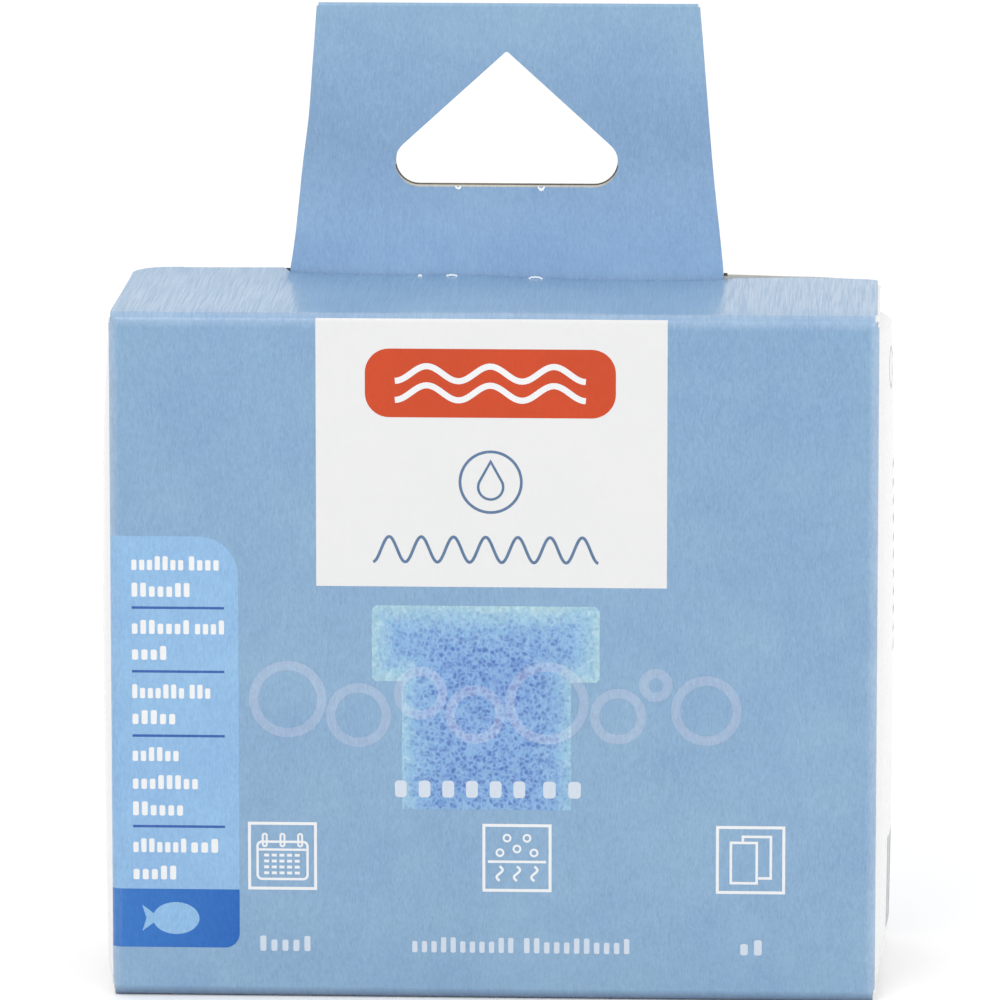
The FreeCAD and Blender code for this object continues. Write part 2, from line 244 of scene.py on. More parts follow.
def board_look(name, colour, fibres=FIBRES_UPRIGHT, gloss=0.5, varnish=1.0, relief=1.0, grain=1.0):
    """Printed or plain folding boxboard. colour is a value, or a function of the look.

    The varnish lies unevenly along the fibres, so it streaks where it is seen at a low angle."""
    look = Look(name)
    fibre = look.noise(fibres, roughness=0.6)
    speck = look.noise((4200.0, 4200.0, 2200.0))
    cloud = look.noise(42.0, detail=3.0)
    base = colour(look) if callable(colour) else colour
    dotted = look.swing(speck, 0.22 * grain, look.swing(fibre, 0.34 * grain, 1.0))
    shade = look.swing(cloud, 0.07 * grain, dotted)
    grey = look.add("CombineColor", {0: shade, 1: shade, 2: shade}).outputs[0]
    tinted = look.mix(1.0, look.mix(1.0, base, grey, "MULTIPLY"), ink_drift(look, grain), "MULTIPLY")
    normal = look.bump(look.calc("MULTIPLY_ADD", speck, 0.3, fibre), 0.4 * relief, 0.02 * MM)
    patchy = look.remap(fibre, 0.38, 0.62, 0.42 * varnish, varnish)
    return look.finish({
        "Base Color": tinted, "Roughness": gloss, "Specular IOR Level": 0.35, "Normal": normal,
        "Coat Weight": patchy, "Coat Roughness": 0.2, "Coat Normal": normal,
    })


def front_blue(look):
    """The front's blue, painted paler towards its foot to offset the lamps' fall-off there, with a
    painted highlight just under the crease.
    """
    z = look.axis("Z")
    # Paler towards the foot: painted light against the lamps' fall-off.
    colour = look.mix(look.remap(z, CORNER, HEIGHT), LOW_BLUE, BLUE)
    # A painted highlight just under the crease.
    return look.mix(look.step(z, HEIGHT - 1.12 * CORNER, 0.6 * CORNER), colour, CREASE_HIGHLIGHT_BLUE)


def creased_blue(look):
    """The front's blue, with a painted highlight round the upright corners, painted shade at its foot,
    and whiter at one tip.
    """
    x, z = look.axis("X"), look.axis("Z")
    # turned marks the upright corners, which get a painted highlight.
    turned = look.step(look.calc("ABSOLUTE", x), front_high.x + 0.35 * CORNER, 0.7 * CORNER)
    # The crease turns whiter at its top right tip.
    tip = look.step(x, LID_HALF - 0.3 * MM, 0.3 * MM)
    whitened = look.calc("MULTIPLY", tip, look.step(z, HEIGHT - 0.6 * CORNER, 0.2 * MM))
    colour = look.mix(turned, front_blue(look), CORNER_HIGHLIGHT_BLUE)
    # Painted shade along the foot fold.
    colour = look.mix(look.step(z, 0.55 * CORNER, 0.9 * CORNER), FOOT_SHADE_BLUE, colour)
    return look.mix(look.calc("MULTIPLY", whitened, 0.8), colour, WHITE)


def wrapped_print(look):
    """The front's blue runs a little way round each upright corner, then the white side begins."""
    ragged = look.calc("MULTIPLY_ADD", look.noise(900.0, detail=1.0), 0.12 * MM, look.axis("Y"))
    white = look.step(ragged, FRONT + 0.67 * CORNER, 0.16 * MM)
    return look.mix(white, creased_blue(look), WHITE)


def wrapped_legend(look):
    """As wrapped_print, with the legend and its footer running off the front's left edge."""
    z = look.axis("Z")
    blue = colour = creased_blue(look)
    for level, above in ((LEGEND_FOOT, FOOTER_LEFT), (FOOTER_HEAD, LEGEND), (LEGEND_HEAD, blue)):
        colour = look.mix(look.step(z, level * MM, 0.08 * MM), colour, above)
    return look.mix(look.step(look.axis("Y"), FRONT + 0.6 * CORNER, 0.16 * MM), colour, WHITE)


def tab_blue(look):
    """The tab's blue, painted paler towards its foot against the shade the lid casts there, and paler
    at its head as a painted highlight.
    """
    z = look.axis("Z")
    # Painted light at the foot, where the lid shades the tab.
    up = look.remap(z, tab_low.z, tab_low.z + 18 * MM)
    colour = look.mix(up, seen(168, 203, 241), seen(145, 179, 214))
    # A painted highlight towards the tab's head.
    head = look.remap(z, tab_high.z - 12 * MM, tab_fold_high.z)
    return look.mix(head, colour, seen(152, 187, 217))


def picture_depth(look, stem_margin=0.0):
    """How far a point lies inside the outline of the printed foam, in metres.

    A margin widens the stem, so that its sides read as lying further in."""

    def inside(left, right, low, high):
        spans = []
        for axis, first, last in (("X", left, right), ("Z", low, high)):
            offset = look.calc("SUBTRACT", look.axis(axis), (first + last) / 2 * MM)
            away = look.calc("ABSOLUTE", offset)
            spans.append(look.calc("SUBTRACT", (last - first) / 2 * MM, away))
        return look.calc("MINIMUM", *spans)

    left, right, foot = PICTURE_STEM
    below = foot - 5.0  # the foot of the picture stays blue
    stem = inside(left - stem_margin, right + stem_margin, below, PICTURE_HEAD[3])
    return look.calc("MAXIMUM", inside(*PICTURE_HEAD), stem)


def foam_picture(look):
    """The printed picture of the foam: pale at its edges, deeper blue in the middle, full of pores."""
    depth = look.swing(look.noise(420.0, detail=3.0), 1.9 * MM, picture_depth(look, stem_margin=1.3))
    share = look.calc("DIVIDE", depth, 7.5 * MM)
    edges = ((0.0, seen(174, 211, 223)), (0.16, seen(163, 205, 227)))
    body = look.ramp(share, *edges, (0.45, seen(147, 190, 228)), (1.0, seen(139, 180, 226)))
    hollow = look.swing(look.noise(1250.0, detail=1.0), -0.9, look.cells(1350.0))
    pores = ((0.0, srgb(255, 255, 255)), (0.14, srgb(222, 231, 248)), (0.42, srgb(150, 171, 214)))
    deep = look.remap(share, 0.0, 0.8, 0.2, 1.0)
    colour = look.mix(deep, body, look.ramp(hollow, *pores), "MULTIPLY")
    strands = look.noise(1350.0, roughness=0.6)
    light = look.ramp(strands, (0.5, srgb(0, 0, 0)), (0.7, srgb(138, 140, 128)))
    return look.mix(look.remap(share, 0.0, 0.5, 0.6, 0.2), colour, light, "SCREEN")


def bubble_print(look):
    """Pale ink over the blue, and over the foam picture where that lies beneath."""
    over_picture = look.step(picture_depth(look), 0.0, 0.05 * MM)
    beneath = look.mix(over_picture, BLUE, foam_picture(look))
    return look.mix(0.18, beneath, seen(245, 240, 252))


def footer_blue(look):
    across = look.remap(look.axis("X"), -HALF_WIDTH, LEGEND_RIGHT * MM)
    return look.mix(across, FOOTER_LEFT, seen(30, 114, 194))


def glue_material():
    look = Look("dry_glue")
    ripple = look.noise(500.0, detail=3.0)
    colour = look.ramp(ripple, (0.3, srgb(226, 220, 196)), (0.7, srgb(240, 236, 220)))
    normal = look.bump(ripple, 0.5, 0.05 * MM)
    return look.finish({"Base Color": colour, "Roughness": 0.35, "Normal": normal})


def foam_material():
    """Open-cell foam: lighter strands, with painted shade darkening its pores and its deepest pits, and
    a soft sheen where the strands catch light.
    """
    look = Look("filter_foam")
    pit = look.add("Attribute", attribute_name="pit").outputs["Fac"]
    strands = look.cells(1500.0)
    # Painted shade: darker inside each small cell, away from its strands.
    fine = look.ramp(strands, (0.02, srgb(255, 255, 255)), (0.22, srgb(150, 160, 180)))
    # Painted shade: darker where the surface is pitted deepest.
    mixed = look.swing(look.noise(60.0, detail=3.0), 0.25, pit)
    pit_shade_tones = ((0.0, srgb(112, 158, 224)), (0.5, srgb(62, 112, 196)), (1.0, srgb(18, 52, 128)))
    colour = look.mix(0.7, look.ramp(mixed, *pit_shade_tones), fine, "MULTIPLY")
    normal = look.bump(look.calc("MULTIPLY", strands, -1.0), 0.6, 0.25 * MM)
    return look.finish({
        "Base Color": colour, "Roughness": 0.82, "Normal": normal,
        "Subsurface Weight": 0.15, "Subsurface Scale": 1.5 * MM, "Subsurface Radius": (0.4, 0.7, 1.0),
        "Sheen Weight": 0.25, "Sheen Roughness": 0.5,
    })


# ---- The print's layout, in millimetres on the front panel ----

LABEL = (-24.8, 24.4, 59.1)  # left, right and foot; its head runs onto the top fold
LABEL_WRAP = radians(30)
PILL = (-17.9, 17.2, 83.1, 92.8)
EMBLEM = (-0.3, 74.0, 4.5)  # centre and radius of its ring
WAVE_LINE = (-16.8, 14.8, 64.4)
PICTURE_HEAD = (-17.0, 15.0, 45.6, 56.4)
PICTURE_STEM = (-12.8, 11.0, 27.3)
BUBBLES = (  # centre, height above BUBBLE_HEIGHT and radius
    (-28.9, 0.6, 4.8), (-18.9, -1.6, 3.9), (-10.2, 1.6, 3.1), (-2.5, -1.4, 3.5),
    (7.6, 0.3, 5.2), (17.6, -1.5, 3.3), (22.9, 3.0, 1.7), (30.0, -0.6, 4.3),
)
BUBBLE_HEIGHT = 42.3
NAME_LINE = (-13.8, 12.6, 29.0, 2.4)  # left, right, foot and height
TAB_NICKS = ((-12.4, 0.45, 0.2), (-7.8, 1.55, 0.28), (4.3, 2.0, 0.3))  # place, width, height
NICK_INSET = 1.5 * MM  # how far the torn nicks stand in front of the tuck fold
# The slits' marks are painted shadows, dark ink where the slits beside the tab's foot lie in shade.
SLIT_SHADOWS = ((-32.05, -31.33, 97.3, 98.2), (31.35, 31.9, 97.4, 97.85))  # dark gaps beside the tab
HOLE_NICKS = ((-7.0, 0.7, -0.45), (5.0, 0.9, -0.6))
LEGEND_FOOT, LEGEND_HEAD, LEGEND_RIGHT = 7.1, 66.0, -35.8
FOOTER_HEAD = 15.5
LEGEND_LINES = (  # the height of each line, and where its words start and end from LEGEND_LEFT
    (62.1, (0.0, 7.3), (8.1, 12.3)), (58.3, (0.0, 8.2)), (53.0, (0.0, 8.1), (8.9, 13.0)),
    (49.3, (0.0, 4.9)), (43.8, (0.0, 7.3), (8.1, 11.0)), (40.1, (0.0, 6.1)), (34.8, (0.0, 6.5)),
    (30.8, (0.0, 9.2)), (27.0, (0.0, 7.1)), (21.7, (0.0, 7.5), (8.2, 12.1)), (17.8, (0.0, 6.1)),
)
LEGEND_LEFT = -50.8
LEGEND_RULES = (55.8, 46.7, 37.5, 24.5)
RULE_LENGTH = 13.0
ICON_CENTRES = (-29.7, 3.4, 36.3)
ICON_HEIGHT, ICON_SIZE = 20.4, 9.75
CAPTIONS = ((-32.9, -25.7), (-11.4, 2.9), (4.4, 19.3), (34.9, 38.2))
CAPTION_FOOT = 6.7

BLUE = seen(139, 174, 208)
# Paler than BLUE: painted light that offsets the lamps' fall-off towards the front's foot.
LOW_BLUE = seen(146, 180, 211)
# Paler than the front's BLUE: painted light that offsets the shade the tab casts on the lid's middle.
LID_BLUE = seen(149, 185, 219)
# A painted highlight just under the front's top crease.
CREASE_HIGHLIGHT_BLUE = seen(158, 188, 220)
# A painted highlight on the front's upright corner folds.
CORNER_HIGHLIGHT_BLUE = seen(166, 192, 220)
# Painted shade along the front's foot fold.
FOOT_SHADE_BLUE = seen(116, 138, 167)
WHITE = srgb(217, 217, 217)
LEGEND = seen(150, 192, 232)
FOOTER_LEFT = seen(74, 130, 204)

printed = board_look("printed_board", BLUE)
front_print = board_look("front_board_print", front_blue)
lid_print = board_look("lid_board", LID_BLUE, varnish=0.72)
creased = board_look("creased_board", creased_blue)
tab_print = board_look("tab_board", tab_blue)
plain = board_look("white_board", WHITE, fibres=FIBRES_SIDE, grain=0.25)
right_corner = board_look("corner_board", wrapped_print)
left_corner = board_look("legend_corner_board", wrapped_legend)
raw = board_look("board_back", seen(226, 223, 216), gloss=0.75, varnish=0.0, relief=1.6)
cut = board_look("board_edge", seen(228, 228, 224), gloss=0.85, varnish=0.0, relief=2.0)
inks = {
    "label": board_look("ink_label", seen(240, 240, 240), grain=0.15, relief=0.4),
    "orange": board_look("ink_orange", seen(214, 89, 10), varnish=0.15, grain=0.4, relief=0.5),
    "white": board_look("ink_white", seen(246, 247, 248), grain=0.2),
    "pale": board_look("ink_pale", seen(218, 228, 240), grain=0.3),
    "slate": board_look("ink_slate", seen(98, 126, 160)),
    "legend": board_look("ink_legend", LEGEND),
    "footer": board_look("ink_footer", footer_blue, varnish=0.3),
    "rule": board_look("ink_rule", seen(48, 102, 176)),
    "fish": board_look("ink_pale_blue", seen(150, 194, 234)),
    "bubbles": board_look("ink_bubbles", bubble_print),
    "picture": board_look("ink_foam_picture", foam_picture, relief=1.4),
    "grey": board_look("ink_grey", seen(150, 152, 158), fibres=FIBRES_SIDE),
    "navy": board_look("ink_navy", seen(58, 92, 140)),
    # Dark ink for painted shade at the slits and along the hole's lower edge.
    "rim": board_look("painted_cut_shade", seen(112, 106, 96), varnish=0.0),
    "fibre": board_look("torn_fibre", srgb(252, 252, 252), varnish=0.0, grain=0.1),
}
BOARD_FACES = (printed, raw, cut)
PLAIN_FACES = (plain, raw, cut)


# ---- Board pieces ----


def add_object(name, data):
    made = bpy.data.objects.new(name, data)
    bpy.context.scene.collection.objects.link(made)
    return made


def finish_piece(name, bm, materials):
    """Turns a bmesh into an object in the scene, its faces pointing outwards."""
    bmesh.ops.recalc_face_normals(bm, faces=bm.faces)
    for edge in bm.edges:
        kinds = {face.material_index == CUT for face in edge.link_faces}
        if len(materials) == 3 and len(kinds) == 2:
            edge.smooth = False
    mesh = bpy.data.meshes.new(name)
    bm.to_mesh(mesh)
    bm.free()
    for material in materials:
        mesh.materials.append(material)
    return add_object(name, mesh)


def sheet(name, grids, materials, ring=False):
    """A solid between two grids of points. In a ring the last column joins the first."""
    bm = bmesh.new()

    def quad(kind, *corners):
        made = bm.faces.new(corners)
        made.material_index = kind
        made.smooth = kind != CUT and not ring

    outside, inside = [[[bm.verts.new(p) for p in column] for column in grid] for grid in grids]
    count, rows = len(outside), len(outside[0]) - 1
    for i in range(count if ring else count - 1):
        after = (i + 1) % count
        for grid, kind in ((outside, OUTSIDE), (inside, INSIDE)):
            for j in range(rows):
                quad(kind, grid[i][j], grid[after][j], grid[after][j + 1], grid[i][j + 1])
        for j in (0, rows):
            quad(CUT, outside[i][j], outside[after][j], inside[after][j], inside[i][j])
    for j in range(rows):
        for i in () if ring else (0, count - 1):
            quad(CUT, outside[i][j], outside[i][j + 1], inside[i][j + 1], inside[i][j])
    return finish_piece(name, bm, materials)


def spread(low, high, steps):
    return [low + (high - low) * i / steps for i in range(steps + 1)]


def arc(x, y, radius, first, last, steps):
    """Points on an arc about (x, y), from one angle to another."""
    return [(x + radius * cos(a), y + radius * sin(a)) for a in spread(first, last, steps)]


def board(name, columns, low, high, rows, face, outer, materials, inner=None):
    """A closed sheet of board, whose two faces are face(outer, u, v) and face(inner, u, v).

    There is a column of points at each u, with v from low to high. Either may be a function of u.
    The inner face lies one thickness of board further in unless inner is given."""
    inner = outer - BOARD if inner is None else inner

    def column(depth, u):
        start, end = (limit(u) if callable(limit) else limit for limit in (low, high))
        return [face(depth, u, v) for v in spread(start, end, rows)]

    return sheet(name, [[column(depth, u) for u in columns] for depth in (outer, inner)], materials)


def attach(piece, body, node=None):
    """Makes a piece ride a body, in place of a CAD node if there is one."""
    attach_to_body(piece, body)
    if node:
        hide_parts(node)


def bend(piece, start, end, node=None):
    """Fixes a piece where it was built, in place of a CAD node if there is one."""
    if node:
        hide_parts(node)
    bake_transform(piece)
    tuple(start)
    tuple(end)


def clamp(value):
    return min(max(value, 0.0), 1.0)


def share_of(value, low, high):
    """How far a value is on the way from low to high, from 0 to 1."""
    return clamp((value - low) / (high - low))


def eased(value, stops):
    """A smooth curve through (place, height) stops."""
    for (x0, h0), (x1, h1) in zip(stops, stops[1:]):
        if value <= x1:
            share = share_of(value, x0, x1)
            return h0 + (h1 - h0) * share * share * (3 - 2 * share)
    return stops[-1][1]


def tip_places(edge, tip, steps=10):
    """Places from where a rounded tip starts to its edge, closer together towards the edge."""
    return [edge - tip * (i / steps) ** 2 for i in range(steps, -1, -1)]


def tip_inset(distance, radius):
    """How far an edge draws back within radius of a rounded tip. distance runs from the tip."""
    if distance >= radius:
        return 0.0
    return radius - sqrt(max(radius**2 - (radius - distance) ** 2, 0.0))


def side_bulge(sign, y, z):
    """How far a side panel stands out: the foam inside pushes it into a shallow pillow."""
    across = share_of(y, side_low.y, side_high.y)
    middle = share_of(z, side_low.z, side_high.z)
    head = side_high.z - BULGE_SLOPE * max(y - BULGE_DROP_START, 0.0)
    upper = clamp((head - z) / BULGE_HEADS[sign > 0])
    lower = clamp((z - side_low.z) / BULGE_FEET[sign > 0])
    height = sqrt(1 - (1 - upper) ** 2) * sin(pi / 2 * lower)
    belly = 0.75 + 0.25 * sin(pi * middle)
    return SIDE_BULGE * sin(pi * across**0.8) ** 0.8 * height * belly


def flat_wall(y, x, z):
    return (x, y, z)


def make_walls():
    """The sleeve's flat and bulging walls and its upright folds."""
    columns = spread(-front_high.x, front_high.x, 48)
    faces = (front_print, raw, cut)
    inner = FRONT + BOARD
    front = board("front_board", columns, CORNER, SEAM, 40, flat_wall, FRONT, faces, inner)
    attach(front, "carton", "front_panel")
    beside = crease_high.x + 0.06 * MM
    columns = spread(back_low.x, -beside, 10) + spread(crease_low.x, crease_high.x, 24)
    columns += spread(beside, back_high.x, 10)

    def head(x):
        trim = eased(abs(x) / LID_HALF, BACK_TRIMS[x > 0]) * MM
        return back_high.z - (trim if abs(x) > crease_high.x else 0.0)

    back = board("back_board", columns, back_low.z, head, 40, flat_wall, BACK, BOARD_FACES)
    attach(back, "carton", "back_panel")
    for hand, sign in HANDS:
        make_side(hand, sign)
        corner = (left_corner if sign < 0 else right_corner, plain, plain)
        make_upright(f"front_{hand}_corner", sign, -1, f"front_{hand}_fold", corner)
        for end in ENDS:
            make_corner_tip(hand, sign, end)
    make_upright("back_right_corner", 1, 1, "back_right_fold", PLAIN_FACES)


def make_side(hand, sign):
    low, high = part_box(f"{hand}_side_panel")
    rim = max(BULGE_FEET)
    heights = spread(low.z, low.z + rim, 20)
    heights += spread(low.z + rim, high.z - rim, 26)[1:-1]
    heights += spread(high.z - rim, high.z, 32)

    def face(x, z, y):
        return (sign * (x + side_bulge(sign, y, z)), y, z)

    side = board(f"{hand}_side_board", heights, low.y, high.y, 32, face, HALF_WIDTH, PLAIN_FACES)
    attach(side, "carton", f"{hand}_side_panel")


def make_upright(name, across, back, node, materials):
    """A fold at an upright corner of the sleeve. across and back, 1 or -1, say which corner."""

    def face(radius, a, z):
        return (across * (front_high.x + radius * sin(a)), back * (radius * cos(a) - LID_FRONT), z)

    fold = board(name, spread(0, pi / 2, 16), CORNER, SEAM, 30, face, CORNER, materials)
    attach(fold, "carton", node)


def at_end(end, z):
    """The height of a place at the top end, or of the same place at the bottom end."""
    return z if end == "top" else HEIGHT - z


def make_corner_tip(hand, sign, end):
    """A web of frayed board between an upright fold, the end of the crease and the dust flap's fold."""
    outer, inner, overlap = CORNER + 0.01 * MM, CORNER - 0.08 * MM, 0.1 * MM

    def head(a):
        across = front_high.x + CORNER * sin(a) - (HALF_WIDTH - FLAP_RADIUS)
        arch = sqrt(max(FLAP_RADIUS**2 - across**2, 0.0))
        return max(FLAP_TOP - FLAP_RADIUS + arch, SEAM + overlap / 2)

    def face(radius, a, z):
        return (sign * (front_high.x + radius * sin(a)), LID_FRONT - radius * cos(a), at_end(end, z))

    turn, name = spread(radians(54), pi / 2, 8), f"{end}_{hand}_corner_tip"
    tip = board(name, turn, SEAM - overlap, head, 4, face, outer, PLAIN_FACES, inner)
    attach(tip, "carton")


def lid_rise(end, x, y):
    """How far the top lid stands off its flat shape: pressed in near the tab, lifted at one corner."""
    if end == "bottom":
        return 0.0
    along = share_of(y, LID_FRONT, TUCK_START)
    near = max(1 - (y - LID_FRONT) / DIP_REACH, 0.0)
    return eased(x / LID_HALF, LID_SAG) * MM * along**2 - LID_DIP * near**2


def make_lid(end):
    left_tip, right_tip = SHOULDER_TIPS
    columns = [-x for x in reversed(tip_places(LID_HALF, left_tip))]
    columns += spread(-LID_HALF + left_tip, -TUCK_HALF - SLIT, 3)[1:]
    columns += spread(-TUCK_HALF, TUCK_HALF, TUCK_STEPS)
    columns += spread(TUCK_HALF + SLIT, LID_HALF - right_tip, 3)[:-1]
    columns += tip_places(LID_HALF, right_tip)

    def rear(x):
        if abs(x) <= TUCK_HALF:
            return TUCK_START
        return lid_high.y - tip_inset(LID_HALF - abs(x), left_tip if x < 0 else right_tip)

    def face(z, x, y):
        return (x, y, at_end(end, z + lid_rise(end, x, y)))

    faces = (lid_print, raw, cut)
    lid = board(f"{end}_lid_board", columns, LID_FRONT, rear, 36, face, HEIGHT, faces)
    attach(lid, f"{end}_closure", f"{end}_panel")


def make_front_fold(end):
    turn = spread(front_high.x, LID_HALF, 6)
    columns = [-x for x in reversed(turn)] + spread(-front_high.x, front_high.x, 40)[1:-1] + turn

    def face(radius, x, a):
        beyond = max(abs(x) - front_high.x, 0.0)
        setback = CORNER - sqrt(CORNER**2 - beyond**2)  # where the front turns back at its corner
        reach = max(radius - setback, 0.1 * MM)
        z = SEAM + radius * sin(a) + lid_rise(end, x, LID_FRONT) * sin(a) ** 2
        return (x, LID_FRONT - reach * cos(a), at_end(end, z))

    faces = (creased, raw, cut)
    fold = board(f"{end}_front_crease", columns, 0.0, pi / 2, 20, face, CORNER, faces)
    start, stop = (0, FRONT, at_end(end, SEAM)), (0, LID_FRONT, at_end(end, HEIGHT))
    bend(fold, start, stop, f"{end}_front_fold")


def make_tuck(end):
    centre_z = HEIGHT - TUCK_RADIUS
    centre = Vector((0, TUCK_START, centre_z))
    root = Vector((0, cos(TUCK_LEAN), -sin(TUCK_LEAN)))
    down = Vector((0, -sin(TUCK_LEAN), -cos(TUCK_LEAN)))

    def fold_face(radius, a, x):
        z = centre_z + lid_rise(end, x, TUCK_START) + radius * cos(a)
        return (x, TUCK_START + radius * sin(a), at_end(end, z))

    name, turn = f"{end}_tuck", spread(0, pi / 2 + TUCK_LEAN, 16)
    sides = (-TUCK_HALF, TUCK_HALF, TUCK_STEPS)
    fold = board(f"{name}_crease", turn, *sides, fold_face, TUCK_RADIUS, BOARD_FACES)
    fold_end = centre + root * (TUCK_RADIUS - BOARD / 2)
    start = (0, TUCK_START, at_end(end, HEIGHT - BOARD / 2))
    stop = (0, fold_end.y, at_end(end, fold_end.z))
    bend(fold, start, stop, f"{name}_fold")

    def flap_face(radius, x, reach):
        place = centre + root * radius + down * reach
        return (x, place.y, at_end(end, place.z + lid_rise(end, x, TUCK_START)))

    def tip(x):
        return TUCK_LENGTH - tip_inset(TUCK_HALF - abs(x), TUCK_TIP)

    tips = tip_places(TUCK_HALF, TUCK_TIP)
    columns = [-x for x in reversed(tips)] + spread(-tips[0], tips[0], 30)[1:-1] + tips
    flap = board(f"{name}_board", columns, 0.0, tip, 10, flap_face, TUCK_RADIUS, BOARD_FACES)
    attach(flap, name, f"{name}_flap")


def make_dust_flap(end, hand, sign):
    root = HALF_WIDTH - FLAP_RADIUS
    length = flap_high.x - flap_low.x
    front, rear = flap_low.y, flap_high.y
    centre_z = FLAP_TOP - FLAP_RADIUS

    def pressed(x, y):
        return min(lid_rise(end, x, y), 0.0)

    def face(radius, a, y):
        x = sign * (root + radius * cos(a))
        return (x, y, at_end(end, centre_z + radius * sin(a) + pressed(x, y) * sin(a) ** 2))

    name, turn = f"{end}_{hand}_dust", spread(0, pi / 2, 14)
    fold = board(f"{name}_crease", turn, front, rear, 20, face, FLAP_RADIUS, PLAIN_FACES)
    start, stop = (sign * HALF_WIDTH, 0, at_end(end, centre_z)), (sign * root, 0, at_end(end, FLAP_TOP))
    bend(fold, start, stop, f"{name}_fold")
    columns = spread(0, length - FLAP_TIP, 16)[:-1] + tip_places(length, FLAP_TIP, 8)

    def near(u):
        return front + FLAP_SLANT * u + tip_inset(length - u, FLAP_TIP)

    def far(u):
        return rear - FLAP_TAPER * u / length - tip_inset(length - u, FLAP_TIP)

    def flap_face(z, u, y):
        x = sign * (root - u)
        return (x, y, at_end(end, z + pressed(x, y)))

    flap = board(f"{name}_board", columns, near, far, 16, flap_face, FLAP_TOP, PLAIN_FACES)
    attach(flap, name, f"{name}_flap")


# ---- The hang tab ----


def hole_outline(margin, drop=0.0):
    """The rounded triangle of the hanger hole, as points (x, z), anticlockwise from its foot."""
    foot = tab_low.z + HOLE_FOOT - drop
    slope = atan2(HOLE_HEIGHT, HOLE_HALF)
    centre_x = HOLE_HALF - HOLE_CORNER / tan(slope / 2)
    right = arc(centre_x, foot + HOLE_CORNER, HOLE_CORNER + margin, -pi / 2, pi / 2 - slope, 14)
    tip_centre = foot + HOLE_HEIGHT + margin / cos(slope) - HOLE_TIP / cos(slope)
    tip = arc(0, tip_centre, HOLE_TIP, pi / 2 - slope, pi / 2 + slope, 6)
    return right + tip + [(-x, z) for x, z in reversed(right)]


def tab_side(sign, z):
    """Where the tab's left or right edge is at a height; each is cut slightly hollow."""
    share = (z - tab_low.z) / (tab_high.z - tab_low.z)
    half = tab_high.x + (tab_fold_high.x - tab_high.x) * share
    return sign * (half - eased(share, TAB_HOLLOWS[sign > 0]) * MM)


def ray_length(centre, angle, outline):
    """How far a ray from centre goes before it meets a closed outline."""
    ray_x, ray_z = cos(angle), sin(angle)
    best = 0.0
    for (x0, z0), (x1, z1) in zip(outline, outline[1:] + outline[:1]):
        edge_x, edge_z = x1 - x0, z1 - z0
        away_x, away_z = x0 - centre[0], z0 - centre[1]
        cross = ray_x * edge_z - ray_z * edge_x
        if abs(cross) > 1e-15:
            share = (away_x * ray_z - away_z * ray_x) / cross
            if -1e-9 <= share <= 1 + 1e-9:
                best = max(best, (away_x * edge_z - away_z * edge_x) / cross)
    return best


def make_ply(name, node, margin, drop, outside_y, inside_y):
    """One ply of the tab, built as rings of points between the hole and the outer edge."""
    centre = (0.0, tab_low.z + HOLE_FOOT + 0.38 * HOLE_HEIGHT)
    heights = spread(tab_low.z, tab_high.z, 14)
    hole = hole_outline(margin, drop)
    edge = [(tab_side(1, z), z) for z in heights] + [(tab_side(-1, z), z) for z in reversed(heights)]
    angles = [atan2(z - centre[1], x - centre[0]) for x, z in hole + edge]
    angles += spread(-pi, pi, 72)[:-1]
    angles = sorted({round(a, 4) for a in angles})

    def column(y, a):
        reach = spread(ray_length(centre, a, hole), ray_length(centre, a, edge), 8)
        return [(centre[0] + r * cos(a), y, centre[1] + r * sin(a)) for r in reach]

    grids = [[column(y, a) for a in angles] for y in (outside_y, inside_y)]
    ply = sheet(name, grids, (tab_print, raw, cut), ring=True)
    attach(ply, "hang_tab", node)


def make_tab():
    lining = BACK - BOARD
    make_ply("tab_back_board", "tab_back_ply", 0.0, 0.0, BACK, lining)
    inside = TAB_FACE + BOARD
    make_ply("tab_front_board", "tab_front_ply", PLY_MARGIN, PLY_DROP, TAB_FACE, inside)

    def over(radius, a, x):
        return (x, TAB_PLANE + radius * cos(a), tab_fold_low.z + radius * sin(a))

    left, right = tab_side(-1, tab_high.z) + TAB_NIP, tab_side(1, tab_high.z) - TAB_NIP
    turn, faces = spread(0, pi, 20), (tab_print, raw, cut)
    fold = board("tab_top_crease", turn, left, right, 20, over, tab_high.y - TAB_PLANE, faces)
    attach(fold, "hang_tab", "tab_top_fold")

    def behind(y, x, z):
        """The strip's root stands clear of the back panel, just inside it."""
        return (x, y if z > crease_low.z else min(y, lining - 0.02 * MM), z)

    columns, faces = spread(crease_low.x, crease_high.x, 30), (tab_print, tab_print, cut)
    low, high = crease_low.z - TAB_ROOT, crease_high.z
    strip = board("tab_base_strip", columns, low, high, 20, behind, BACK, faces, TAB_FACE)
    start, stop = (0, TAB_PLANE, crease_low.z), (0, TAB_PLANE, crease_high.z)
    bend(strip, start, stop, "tab_base_crease")


# ---- Print ----

INK_LIFT = 0.012 * MM
INK_SINK = 0.02 * MM


def area(outer, *holes):
    """A flat shape from its outline and the outlines of its holes."""
    loops = [outer, *holes]
    points = [p for loop in loops for p in loop]
    faces = geometry.tessellate_polygon([[Vector((s, t, 0)) for s, t in loop] for loop in loops])
    return points, [tuple(face) for face in faces]


